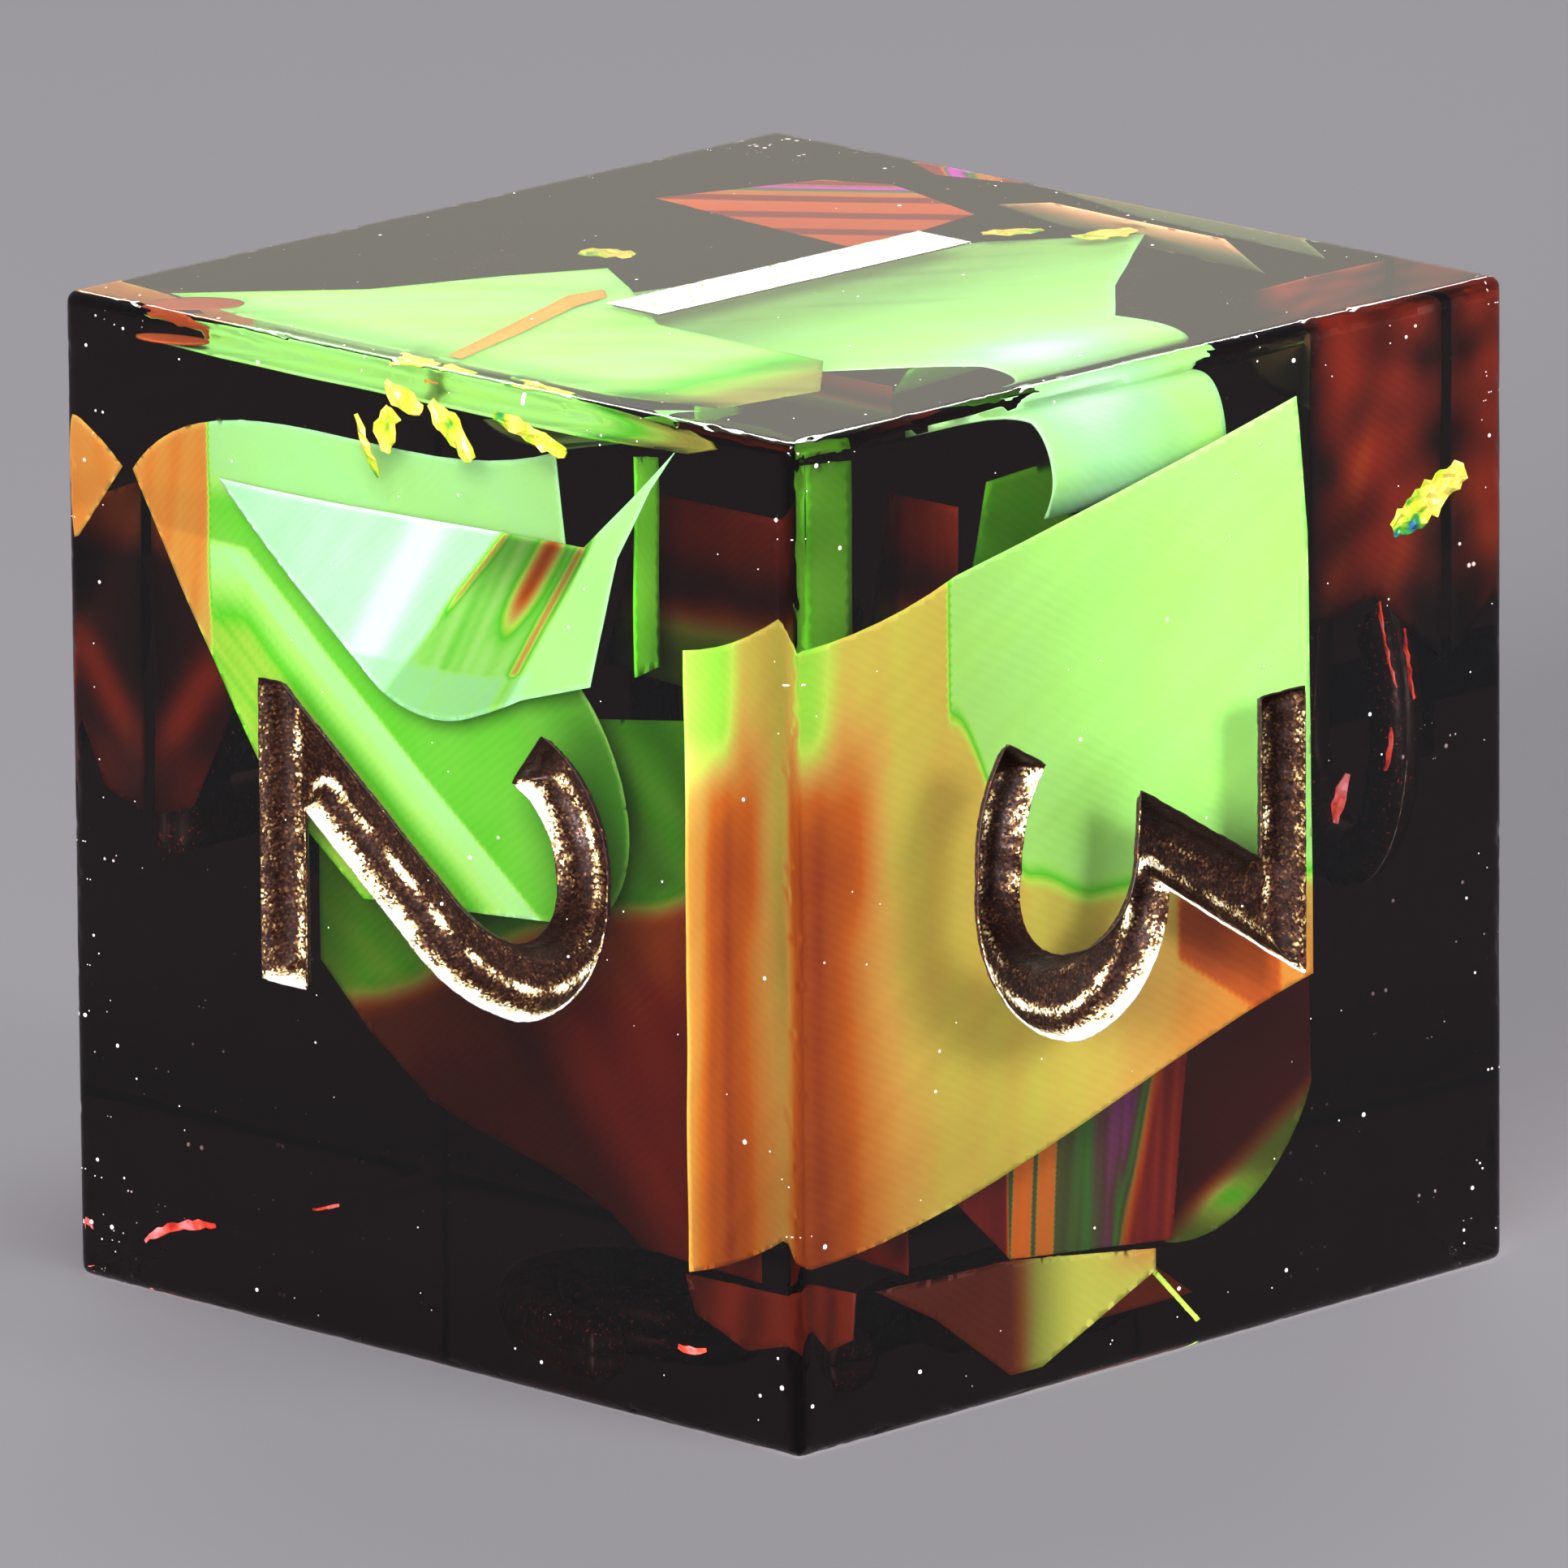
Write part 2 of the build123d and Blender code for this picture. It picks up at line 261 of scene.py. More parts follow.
def node(tree, kind, **values):
    """A node with its sockets set by name."""
    made = tree.nodes.new(kind)
    for key, value in values.items():
        made.inputs[key.replace("_", " ")].default_value = value
    return made


def ramp(tree, stops):
    """A colour ramp from (position, colour) pairs."""
    made = tree.nodes.new("ShaderNodeValToRGB")
    elements = made.color_ramp.elements
    while len(elements) < len(stops):
        elements.new(0.5)
    for element, (position, colour) in zip(elements, stops):
        element.position = position
        element.color = (*colour, 1)
    return made


def mapped_noise(tree, size_mm, detail=3.0, kind="ShaderNodeTexNoise"):
    """A noise or Voronoi texture on the object's own coordinates, with features of the given size."""
    where = tree.nodes.new("ShaderNodeTexCoord")
    scaled = tree.nodes.new("ShaderNodeMapping")
    scaled.inputs["Scale"].default_value = (1 / (size_mm * MM),) * 3
    texture = tree.nodes.new(kind)
    texture.inputs["Scale"].default_value = 1.0
    if kind == "ShaderNodeTexNoise":
        texture.inputs["Detail"].default_value = detail
    tree.links.new(where.outputs["Object"], scaled.inputs["Vector"])
    tree.links.new(scaled.outputs["Vector"], texture.inputs["Vector"])
    return texture


def resin_material():
    """Clear deep-red resin. Lamps shine through it, so what is cast inside is lit."""
    material, tree, output = new_material("cast_resin")
    glass = node(tree, "ShaderNodeBsdfPrincipled", Base_Color=(1, 1, 1, 1), IOR=1.5)
    glass.inputs["Transmission Weight"].default_value = 1.0
    glass.inputs["Specular Tint"].default_value = (0.5, 0.5, 0.5, 1)
    haze = mapped_noise(tree, 0.9, detail=6.0)
    polish = ramp(tree, [(0.35, (0.005,) * 3), (0.75, (0.03,) * 3)])
    tree.links.new(haze.outputs["Fac"], polish.inputs["Fac"])
    tree.links.new(polish.outputs["Color"], glass.inputs["Roughness"])
    lamp_path = tree.nodes.new("ShaderNodeLightPath")
    through = node(tree, "ShaderNodeBsdfTransparent", Color=(1, 1, 1, 1))
    mix = tree.nodes.new("ShaderNodeMixShader")
    tree.links.new(lamp_path.outputs["Is Shadow Ray"], mix.inputs["Fac"])
    tree.links.new(glass.outputs["BSDF"], mix.inputs[1])
    tree.links.new(through.outputs["BSDF"], mix.inputs[2])
    tree.links.new(mix.outputs["Shader"], output.inputs["Surface"])
    tint = node(tree, "ShaderNodeVolumeAbsorption", Color=(0.24, 0.033, 0.0, 1), Density=300.0)
    tree.links.new(tint.outputs["Volume"], output.inputs["Volume"])
    return material


def paint_material():
    """Coarse gold and copper metal flakes in a dark red-brown binder, brightest where the "thickness"
    attribute, which holds painted highlight and shade, is high.
    """
    material, tree, output = new_material("metallic_paint_gold")
    shader = node(tree, "ShaderNodeBsdfPrincipled", Specular_IOR_Level=0.2)
    flakes = mapped_noise(tree, 0.040, kind="ShaderNodeTexVoronoi")
    patches = mapped_noise(tree, 0.22, detail=5.0)
    # The "thickness" attribute holds painted highlight and shade, not a real thickness of the coat.
    thickness = tree.nodes.new("ShaderNodeAttribute")
    thickness.attribute_name = "thickness"
    separate = tree.nodes.new("ShaderNodeSeparateColor")
    tree.links.new(flakes.outputs["Color"], separate.inputs["Color"])
    total = None
    for source, share in (
        (separate.outputs["Red"], 0.40),
        (patches.outputs["Fac"], 0.46),
        (thickness.outputs["Fac"], 0.82),
    ):
        added = tree.nodes.new("ShaderNodeMath")
        added.operation = "MULTIPLY_ADD"
        added.inputs[1].default_value = share
        added.inputs[2].default_value = 0.0
        tree.links.new(source, added.inputs[0])
        if total:
            tree.links.new(total, added.inputs[2])
        total = added.outputs["Value"]
    colour = ramp(tree, [
        (0.42, (0.010, 0.003, 0.002)),
        (0.60, (0.040, 0.012, 0.006)),
        (0.69, (0.110, 0.050, 0.020)),
        (0.77, (0.420, 0.300, 0.120)),
        (0.88, (0.850, 0.780, 0.480)),
        (1.00, (0.980, 0.960, 0.880)),
    ])
    tree.links.new(total, colour.inputs["Fac"])
    tree.links.new(colour.outputs["Color"], shader.inputs["Base Color"])
    metal = ramp(tree, [(0.60, (0.40,) * 3), (0.80, (0.70,) * 3)])
    tree.links.new(total, metal.inputs["Fac"])
    tree.links.new(metal.outputs["Color"], shader.inputs["Metallic"])
    gloss = ramp(tree, [(0.0, (0.28,) * 3), (1.0, (0.65,) * 3)])
    tree.links.new(separate.outputs["Green"], gloss.inputs["Fac"])
    tree.links.new(gloss.outputs["Color"], shader.inputs["Roughness"])
    grain = tree.nodes.new("ShaderNodeBump")
    grain.inputs["Strength"].default_value = 0.7
    grain.inputs["Distance"].default_value = 0.014 * MM
    tree.links.new(separate.outputs["Blue"], grain.inputs["Height"])
    tree.links.new(grain.outputs["Normal"], shader.inputs["Normal"])
    tree.links.new(shader.outputs["BSDF"], output.inputs["Surface"])
    return material


IRIDESCENCE = [
    (0.00, (0.070, 0.006, 0.005)),   # dark maroon
    (0.12, (0.300, 0.030, 0.008)),   # red-brown
    (0.25, (0.620, 0.170, 0.010)),   # orange
    (0.38, (0.640, 0.480, 0.090)),   # tan
    (0.50, (0.500, 0.950, 0.110)),   # yellow-green
    (0.62, (0.100, 0.800, 0.020)),   # strong green
    (0.76, (0.360, 1.000, 0.180)),   # light green
    (0.88, (0.340, 0.960, 0.440)),   # mint
    (1.00, (0.620, 1.000, 0.900)),   # near white
]
RAINBOW = [
    (0.00, (0.060, 0.008, 0.008)),   # dark maroon
    (0.20, (0.350, 0.030, 0.020)),   # dull red
    (0.38, (0.950, 0.160, 0.010)),   # orange
    (0.50, (0.600, 0.420, 0.060)),   # old gold
    (0.62, (0.120, 0.200, 0.060)),   # grey-green
    (0.74, (0.080, 0.400, 0.060)),   # green
    (0.86, (0.200, 0.110, 0.110)),   # grey-violet
    (1.00, (0.750, 0.080, 0.900)),   # violet
]
PEACH = [
    (0.00, (0.900, 0.500, 0.260)),   # peach
    (0.50, (0.700, 0.600, 0.280)),   # straw
    (1.00, (0.250, 0.650, 0.300)),   # green
]
HATCH_TURN = 0.6               # radians by which the film's drawn lines lean
HATCH_SIZE = 0.12              # a measure of the gap between them, in millimetres


def film_material(name, stops):
    """Iridescent film: its hue follows the sheet's own tint, with fine drawn lines and a soft gloss."""
    material, tree, output = new_material(name)
    shader = node(tree, "ShaderNodeBsdfPrincipled", Roughness=0.35, IOR=1.15)
    shader.inputs["Coat Weight"].default_value = 0.05
    shader.inputs["Coat Roughness"].default_value = 0.15
    tint = tree.nodes.new("ShaderNodeAttribute")
    tint.attribute_name = "tint"
    shade = tree.nodes.new("ShaderNodeAttribute")
    shade.attribute_name = "shade"
    where = tree.nodes.new("ShaderNodeTexCoord")
    turned = tree.nodes.new("ShaderNodeMapping")
    turned.inputs["Rotation"].default_value = (HATCH_TURN, HATCH_TURN, 0)
    turned.inputs["Scale"].default_value = (1 / MM,) * 3
    lines = node(tree, "ShaderNodeTexWave", Scale=0.314 / HATCH_SIZE, Distortion=2.5, Detail=2.0)
    lines.bands_direction = "Z"
    tree.links.new(where.outputs["Object"], turned.inputs["Vector"])
    tree.links.new(turned.outputs["Vector"], lines.inputs["Vector"])
    clouds = mapped_noise(tree, 1.3, detail=6.0)
    total = tint.outputs["Fac"]
    for source, share in ((clouds.outputs["Fac"], 0.05), (lines.outputs["Fac"], 0.008)):
        added = tree.nodes.new("ShaderNodeMath")
        added.operation = "MULTIPLY_ADD"
        added.inputs[1].default_value = share
        tree.links.new(source, added.inputs[0])
        tree.links.new(total, added.inputs[2])
        total = added.outputs["Value"]
    hue = ramp(tree, stops)
    tree.links.new(total, hue.inputs["Fac"])
    dimmed = tree.nodes.new("ShaderNodeMix")
    dimmed.data_type = "RGBA"
    dimmed.blend_type = "MULTIPLY"
    dimmed.inputs["Factor"].default_value = 1.0
    tree.links.new(hue.outputs["Color"], dimmed.inputs["A"])
    tree.links.new(shade.outputs["Fac"], dimmed.inputs["B"])
    tree.links.new(dimmed.outputs["Result"], shader.inputs["Base Color"])
    ripple = tree.nodes.new("ShaderNodeBump")
    ripple.inputs["Strength"].default_value = 0.08
    ripple.inputs["Distance"].default_value = 0.02 * MM
    tree.links.new(lines.outputs["Fac"], ripple.inputs["Height"])
    tree.links.new(ripple.outputs["Normal"], shader.inputs["Normal"])
    tree.links.new(shader.outputs["BSDF"], output.inputs["Surface"])
    return material


def speckled_material(name, stops, patch_mm, roughness=0.3, metallic=0.0):
    """Small bright bits: one noise pattern drives the hue."""
    material, tree, output = new_material(name)
    shader = node(tree, "ShaderNodeBsdfPrincipled", Roughness=roughness, Metallic=metallic)
    blotches = mapped_noise(tree, patch_mm)
    hue = ramp(tree, stops)
    tree.links.new(blotches.outputs["Fac"], hue.inputs["Fac"])
    tree.links.new(hue.outputs["Color"], shader.inputs["Base Color"])
    tree.links.new(shader.outputs["BSDF"], output.inputs["Surface"])
    return material


RESIN = resin_material()
PAINT = paint_material()
PAINT_BACK = speckled_material("paint_seen_through_resin", [
    (0.55, (0.006, 0.002, 0.002)), (0.66, (0.10, 0.01, 0.008)), (0.72, (0.85, 0.12, 0.08)),
], 0.07, 0.4, 0.3)
FILM = film_material("iridescent_film", IRIDESCENCE)
STRIPED = film_material("striped_film", RAINBOW)
PEACH_FILM = film_material("peach_film", PEACH)
FOIL = speckled_material("bright_foil", [
    (0.24, (0.02, 0.16, 0.45)), (0.33, (0.06, 0.50, 0.05)),
    (0.42, (0.60, 0.80, 0.03)), (0.58, (0.95, 0.85, 0.15)),
], 0.6, 0.25, 0.5)
THREAD = speckled_material("red_thread_film", [
    (0.35, (0.40, 0.01, 0.01)), (0.5, (0.90, 0.06, 0.02)), (0.7, (0.95, 0.30, 0.35)),
], 0.3)
BUBBLE = speckled_material("bubble_white", [(0.3, (0.55, 0.50, 0.50)), (0.7, (0.95, 0.95, 0.95))], 0.5, 0.15)

# ---------------------------------------------------------------- the casting and its numerals

NUMERAL_FACES = {
    "numeral_1": TOP, "numeral_2": FRONT, "numeral_3": RIGHT,
    "numeral_4": LEFT, "numeral_5": BACK, "numeral_6": BOTTOM,
}
GROOVE_STEP = 0.07             # spacing of the mesh in a groove
EDGE_STEP = 0.125              # spacing of the mesh along an edge
EDGE_ROWS = (0.0, 0.04, 0.08, 0.12, 0.16, 0.2, 0.3)   # distances in from the cube's edge
COARSE_LINES = np.arange(-7, 7.1, 1.0)   # grid lines over the flat rest of a face
COARSE_GAP = 0.2               # how far that grid stays from a groove
SKIN_WELD = 0.0005             # points of the six faces nearer than this are one point
WEAR_REACH = 0.29              # how far from the cube's edge the wear reaches
CHIP_DEPTH = 0.06              # small chips
WEAR_DEPTH = 0.015             # long shallow wear


def groove_depth(gap):
    """A round-bottomed stroke: how deep it is at this distance from its edge."""
    share = np.clip(gap / GROOVE_HALF_WIDTH, 0, 1)
    return GROOVE_DEPTH * np.sqrt(1 - (1 - share) ** 2)


def rounded(points):
    """Move points of the sharp cube onto the cube with polished edges, a little worn in places."""
    middle = np.array([0, 0, HALF])
    offset = points - middle
    core = np.clip(offset, -(HALF - EDGE_RADIUS), HALF - EDGE_RADIUS)
    out = offset - core
    length = np.linalg.norm(out, axis=1, keepdims=True)
    wear = np.zeros(len(points))
    near_edge = np.sort(np.abs(offset), axis=1)[:, 1] > HALF - WEAR_REACH
    worn = points[near_edge]
    chips = np.clip(wave(worn, 0.22, 3) - 0.25, 0, 1) * CHIP_DEPTH
    wear[near_edge] = chips + np.clip(wave(worn, 1.7, 5), 0, 1) * WEAR_DEPTH
    radius = EDGE_RADIUS - wear[:, None]
    deep = offset - out + out / np.maximum(length, 1e-9) * radius
    return middle + np.where(length > EDGE_RADIUS + 1e-6, deep, offset)


def paint_highlight_and_shade(points, normals, centre, level):
    """Painted highlight and shade for the paint, from about 0 to 1, which the paint material reads as its
    "thickness".

    A level numeral gets a high, nearly even value: a painted reflection of the light from above.
    Elsewhere there is a painted highlight on a ridge beside the middle of a stroke (centre is 0 at a
    stroke's edge and 1 in its middle), at the rim and on walls that face up, and painted shade on walls
    that face down.
    """
    # A level numeral: a nearly even painted reflection of the light from above.
    if level:
        return (0.80 + 0.25 * wave(points, 0.12, 15)).astype(np.float32)
    # Painted highlight on a ridge beside a stroke's middle and on its rim, where the walls face up.
    ridge_highlight = bump(centre, 0.72, 0.16) * np.clip(0.6 + 1.6 * normals[:, 2], 0, 1)
    rim = bump(centre, 0, 0.12) * np.clip(0.25 + 1.3 * normals[:, 2], 0, 1)
    patchy = np.clip(0.55 + 0.7 * wave(points, 0.45, 13), 0, 1)
    whole = ridge_highlight * patchy + rim * np.clip(0.7 + 0.5 * wave(points, 0.3, 14), 0, 1)
    # Painted shade on walls that face down.
    whole = whole - 0.35 * np.clip(-normals[:, 2] - 0.2, 0, 1)
    # Painted highlight on walls that face up.
    whole = whole + 0.55 * smooth_step(0.60, 0.88, normals[:, 2]) * np.clip(0.6 + wave(points, 1.1, 16), 0, 1)
    return whole.astype(np.float32)


skin_points = []
skin_faces = []
grooves = {}
for numeral, face in NUMERAL_FACES.items():
    shape = welded(numeral)
    outlines = [resample(o, GROOVE_STEP)[:, :2] for o in loops_of(shape, face, -1)]
    shape.free()
    rows = []
    along = np.linspace(-HALF, HALF, int(SIDE / EDGE_STEP) + 1)
    for inset in EDGE_ROWS:
        reach = HALF - inset
        run = along[np.abs(along) <= reach - 1e-9]
        for sign in (-1, 1):
            rows += [(x, sign * reach) for x in run]
            rows += [(sign * reach, y) for y in run]
        rows += [(sx * reach, sy * reach) for sx in (-1, 1) for sy in (-1, 1)]
    coarse = np.array([(x, y) for x in COARSE_LINES for y in COARSE_LINES])
    coarse = coarse[~inside(coarse, outlines) & (distance_to(coarse, outlines) > COARSE_GAP)]
    fine = grid_inside(outlines, GROOVE_STEP, GROOVE_STEP * 0.6)
    loose = np.concatenate([np.unique(np.round(rows, 6), axis=0), coarse, fine])
    flat, triangles, _ = triangulate(outlines, loose)
    gap = distance_to(flat, outlines)
    engraved = inside(flat, outlines) & (gap > 1e-4)
    depth = np.where(engraved, groove_depth(gap), 0)
    solid = rounded(face.place(np.column_stack([flat, -depth])))
    start = sum(len(p) for p in skin_points)
    skin_points.append(solid)
    skin_faces += [tuple(start + k for k in t) for t in triangles]
    centres = np.array([flat[list(t)].mean(0) for t in triangles])
    in_stroke = inside(centres, outlines)
    used = sorted({k for t, keep in zip(triangles, in_stroke) if keep for k in t})
    renumber = {k: n for n, k in enumerate(used)}
    strokes = [tuple(renumber[k] for k in t) for t, keep in zip(triangles, in_stroke) if keep]
    grooves[numeral] = (solid[used], strokes, np.clip(gap[used] / GROOVE_HALF_WIDTH, 0, 1))

skin = add_mesh("resin_casting", np.concatenate(skin_points), skin_faces)
weld = bmesh.new()
weld.from_mesh(skin.data)
bmesh.ops.remove_doubles(weld, verts=weld.verts, dist=SKIN_WELD * MM)
bmesh.ops.recalc_face_normals(weld, faces=weld.faces)
weld.to_mesh(skin.data)
weld.free()
skin.data.shade_smooth()
skin.data.set_sharp_from_angle(angle=math.radians(40))
skin.data.materials.append(RESIN)
finish_piece(skin, "resin", "resin_body")

for numeral, (points, faces, centre) in grooves.items():
    face = NUMERAL_FACES[numeral]
    coat = add_mesh(f"{numeral}_paint", points, faces)
    coat.data.shade_smooth()
    normals = np.array([v.normal for v in coat.data.vertices])
    if (normals @ face.normal).mean() < 0:
        coat.data.flip_normals()
        normals = -normals
    lumps = wave(points, 0.16, 11) * PAINT_LUMP + wave(points, 0.5, 12) * PAINT_LUMP
    lifted = points + normals * (PAINT_PROUD + lumps)[:, None]
    height = face.flatten(lifted)
    height[:, 2] = np.minimum(height[:, 2], 0.0)
    coat.data.vertices.foreach_set("co", (face.place(height) * MM).ravel())
    # Painted highlight and shade for the paint, kept in its "thickness" attribute.
    thickness = paint_highlight_and_shade(points, normals, centre, numeral == "numeral_1")
    coat.data.attributes.new("thickness", "FLOAT", "POINT").data.foreach_set("value", thickness)
    coat.data.materials.append(PAINT)
    coat.data.materials.append(PAINT_BACK)
    thicken = coat.modifiers.new("coat", "SOLIDIFY")
    thicken.thickness = (PAINT_PROUD + PAINT_BOND) * MM
    thicken.offset = -1
    thicken.material_offset = 1
    finish_piece(coat, "metallic_paint", numeral)

# ---------------------------------------------------------------- film cast into the resin

RIPPLE_SIZE = 1.6              # how long the ripples of a sheet are
RIM_HIGHLIGHT_WIDTH = 0.05               # the painted highlight along a sheet's cut rim


def add_film(name, face, slot, tint, shade, material=FILM, ripple=0.05, step=0.16, seed=1, rim_highlight=0.0):
    """A sheet of film with its CAD node's outline and place, gently rippled and coloured point by point.

    Tint and shade are each one number or a rule that gives a value for every point.
    """
    shape = welded(name)
    rims = [resample(o, step) for o in loops_of(shape, face, 1)]
    outlines = [rim[:, :2] for rim in rims]
    tree = BVHTree.FromBMesh(shape)
    loose = grid_inside(outlines, step, step * 0.5)
    flat, triangles, origin = triangulate(outlines, loose)
    centres = np.array([flat[list(t)].mean(0) for t in triangles])
    triangles = [t for t, keep in zip(triangles, inside(centres, outlines)) if keep]
    rim_heights = np.concatenate(rims)[:, 2]
    heights = []
    for k, above in zip(origin, face.place(np.column_stack([flat, np.full(len(flat), HALF)]))):
        if 0 <= k < len(rim_heights):
            heights.append(rim_heights[k])
        else:
            heights.append(HALF - tree.ray_cast(Vector(above), -Vector(face.normal))[3])
    solid = face.place(np.column_stack([flat, np.array(heights) - FILM_THICKNESS]))
    shape.free()
    solid = solid + face.normal * (wave(solid, RIPPLE_SIZE, seed) * ripple)[:, None]
    sheet = add_mesh(f"{name}_film", solid, triangles)
    sheet.data.shade_smooth()
    x, y, z = solid.T
    # Painted highlight along the cut rim: tint and shade are raised there.
    rim = bump(distance_to(flat, outlines), 0, RIM_HIGHLIGHT_WIDTH)
    for key, rule, lift in (("tint", tint, rim_highlight / 4), ("shade", shade, rim_highlight)):
        value = rule(x, y, z) if callable(rule) else np.full(len(solid), rule)
        layer = sheet.data.attributes.new(key, "FLOAT", "POINT")
        layer.data.foreach_set("value", np.asarray(value + lift * rim, np.float32))
    sheet.data.materials.append(material)
    thicken = sheet.modifiers.new("film", "SOLIDIFY")
    thicken.thickness = FILM_THICKNESS * MM
    thicken.offset = 0
    finish_piece(sheet, slot, name)


def cloud(x, y, z, size, seed):
    """Smooth noise from -1 to 1, the same in every direction."""
    return wave(np.column_stack([x, y, z]), size, seed)


def streaks(u, v, turn, width, length, seed):
    """Streaky noise from -1 to 1, long in the direction that makes this angle in degrees with u."""
    c, s = math.cos(math.radians(turn)), math.sin(math.radians(turn))
    along = (u * c + v * s) / length
    across = (v * c - u * s) / width
    return wave(np.column_stack([along, across, np.zeros(len(u))]), 1.0, seed)


def blob(u, v, middle, size):
    """1 at the middle, falling smoothly towards 0 beyond the size, in two directions."""
    return np.exp(-(((u - middle[0]) / size[0]) ** 2 + ((v - middle[1]) / size[1]) ** 2))


def blend(below, above, share):
    """below where share is 0, above where it is 1."""
    return below * (1 - share) + above * share


# The rules below give each scrap its tint, a place on its material's colour ramp, and its shade, which
# multiplies the colour. Their bare numbers are such places and shades, or millimetres on the die.


def front_sheet_tint(x, y, z):
    """Green on the right, tan in the middle, red-brown at the bend, yellow-green in the upper corner."""
    green_foot = 10.8 - 2.8 * smooth_step(-3.5, -1.9, y) - 0.5 * smooth_step(-1.9, -0.6, y)
    green_foot = green_foot - 0.5 * smooth_step(1, 4, y)
    green = smooth_step(-0.30, 0.30, z - green_foot) * smooth_step(-3.60, -3.50, y)
    tan = 0.390 + 0.02 * streaks(y, z, 88, 0.5, 6, 21)
    tan = tan - 0.14 * smooth_step(-1.6, 3.0, y) * smooth_step(8, 5, z)
    bend_width = 0.95 + 0.45 * smooth_step(9, 3, z)
    bend = np.maximum(bump(y, -6.3, bend_width), 0.50 * smooth_step(-6.3, -6.6, y))
    bend = bend * smooth_step(12.2, 8.6, z) * (0.88 + 0.16 * streaks(y, z, 89, 0.4, 8, 23))
    flame = bump(y, -5.4, 0.35) * smooth_step(11.2, 9.6, z) * smooth_step(7.2, 8.6, z)
    value = blend(tan - 0.275 * bend - 0.08 * flame, 0.745, green)
    corner = smooth_step(9.8, 11.2, z) * smooth_step(-5.6, -6.4, y)
    value = blend(value, 0.53, corner)
    above_patch_foot = z - 6.1 + 0.66 * (y - 1.2)
    patch = smooth_step(-0.06, 0.06, above_patch_foot) * smooth_step(1.1, 1.2, y) * smooth_step(3.4, 3.3, y)
    return blend(value, 0.14, patch * smooth_step(7.4, 6.9, z))


def front_sheet_shade(x, y, z):
    """Darker at the bend and towards the foot."""
    band = smooth_step(-4.6, -6.2, y) * smooth_step(11.6, 9.0, z)
    return 0.97 + 0.05 * streaks(y, z, 30, 0.3, 5, 22) - 0.15 * smooth_step(5.6, 3.0, z) - 0.32 * band


def past_left_band(x, z):
    """How far a point of the left sheet lies above its pale diagonal band."""
    return z - np.minimum(12.1, 12.07 - 0.78 * (x + 5.0))


def left_sheet_tint(x, y, z):
    """Orange left of a fold, streaky pale green along the diagonal, strong green beyond it."""
    ahead = past_left_band(x, z)
    below = smooth_step(-0.2, -1.6, ahead)
    pale = 0.80 + 0.04 * streaks(x, z, -38, 0.10, 6, 31)
    pale = pale - (0.27 + 0.05 * streaks(x, z, -38, 0.12, 6, 34)) * below
    strong = 0.625 + 0.02 * streaks(x, z, -38, 0.6, 5, 32) + 0.17 * smooth_step(12.7, 13.3, z)
    value = blend(pale, strong, smooth_step(-0.06, 0.06, ahead))
    orange = smooth_step(-5.90, -5.98, x)
    burnt = 0.29 + 0.04 * streaks(x, z, 80, 0.3, 5, 33) + 0.12 * smooth_step(11.6, 9.6, z)
    return blend(value, burnt, orange)


def left_sheet_shade(x, y, z):
    """Dusky with faint arcs at the lower right, brightest along the pale band."""
    ahead = past_left_band(x, z)
    dusk = smooth_step(0.6, 2.6, x) * smooth_step(12.0, 10.0, z)
    arcs = 0.5 + 0.5 * np.sin(3.0 * np.hypot(x + 1.5, z - 7.5))
    band = 0.12 * smooth_step(0.06, -0.06, ahead) * smooth_step(-1.4, -0.4, ahead)
    beyond = 0.08 * smooth_step(0.0, 0.1, ahead) * smooth_step(13.0, 12.6, z)
    return 0.99 + band - (0.50 + 0.12 * arcs) * dusk - beyond


def past_mint_fold(x, z):
    """How far a point of the mint curl lies to the right of its first fold."""
    return x + 0.07 - 0.90 * (z - 12.2)


def past_mint_crease(x, z):
    """How far a point of the mint curl lies to the right of its brown crease."""
    return x - 1.0 - 0.67 * (z - 10.9)


def mint_tint(x, y, z):
    """Pale mint with one painted highlight streak, then see-through folds, a brown crease and a green edge
    strip.
    """
    fold = past_mint_fold(x, z)
    crease = past_mint_crease(x, z)
    # A painted highlight: a near-white streak down the curl.
    highlight_streak = bump(x + 0.13 - 0.64 * (z - 13.9), 0, 0.38) * smooth_step(14.2, 13.2, z)
    value = 0.875 + 0.14 * highlight_streak + 0.012 * streaks(x, z, 52, 0.25, 6, 41)
    folded = 0.70 + 0.10 * streaks(x, z, 60, 0.18, 6, 42)
    value = blend(value, folded, smooth_step(0.0, 0.15, fold))
    value = blend(value, 0.33, bump(fold, 0.10, 0.09) * smooth_step(11.6, 12.4, z))
    value = blend(value, 0.15, bump(crease, -0.55, 0.26) * smooth_step(11.4, 12.6, z))
    value = blend(value, 0.30, bump(crease, 0.05, 0.10))
    value = blend(value, 0.77, smooth_step(0.18, 0.28, crease))
    rim = smooth_step(11.05, 10.95, z - 0.10 * np.clip(x, 0, 9) ** 2)
    return blend(value, 0.84, 0.7 * rim * smooth_step(0.5, 0.3, crease))


def mint_shade(x, y, z):
    """Darker where one sees through the folds."""
    through = smooth_step(0.0, 0.15, past_mint_fold(x, z))
    through = through * smooth_step(0.28, 0.18, past_mint_crease(x, z))
    return 0.74 - 0.26 * through - 0.26 * through * smooth_step(12.0, 13.2, z)


def above_inner_line(x, z):
    """How far a point of the inner sheet lies above the slanting line between its two hues."""
    return z - 5.2 - 0.42 * (x + 3.1)


def inner_tint(x, y, z):
    """Green above a slanting line, brown below it, then red."""
    rise = above_inner_line(x, z) + 0.25 * cloud(x, y, z, 1.5, 54)
    below = 0.17 - 0.11 * smooth_step(-0.4, -2.4, rise) + 0.03 * streaks(x, z, -50, 0.5, 4, 51)
    above = 0.57 + 0.04 * smooth_step(-3.0, 0.0, x) + 0.02 * streaks(x, z, -30, 0.4, 5, 53)
    return blend(below, above, smooth_step(-0.45, 0.15, rise))


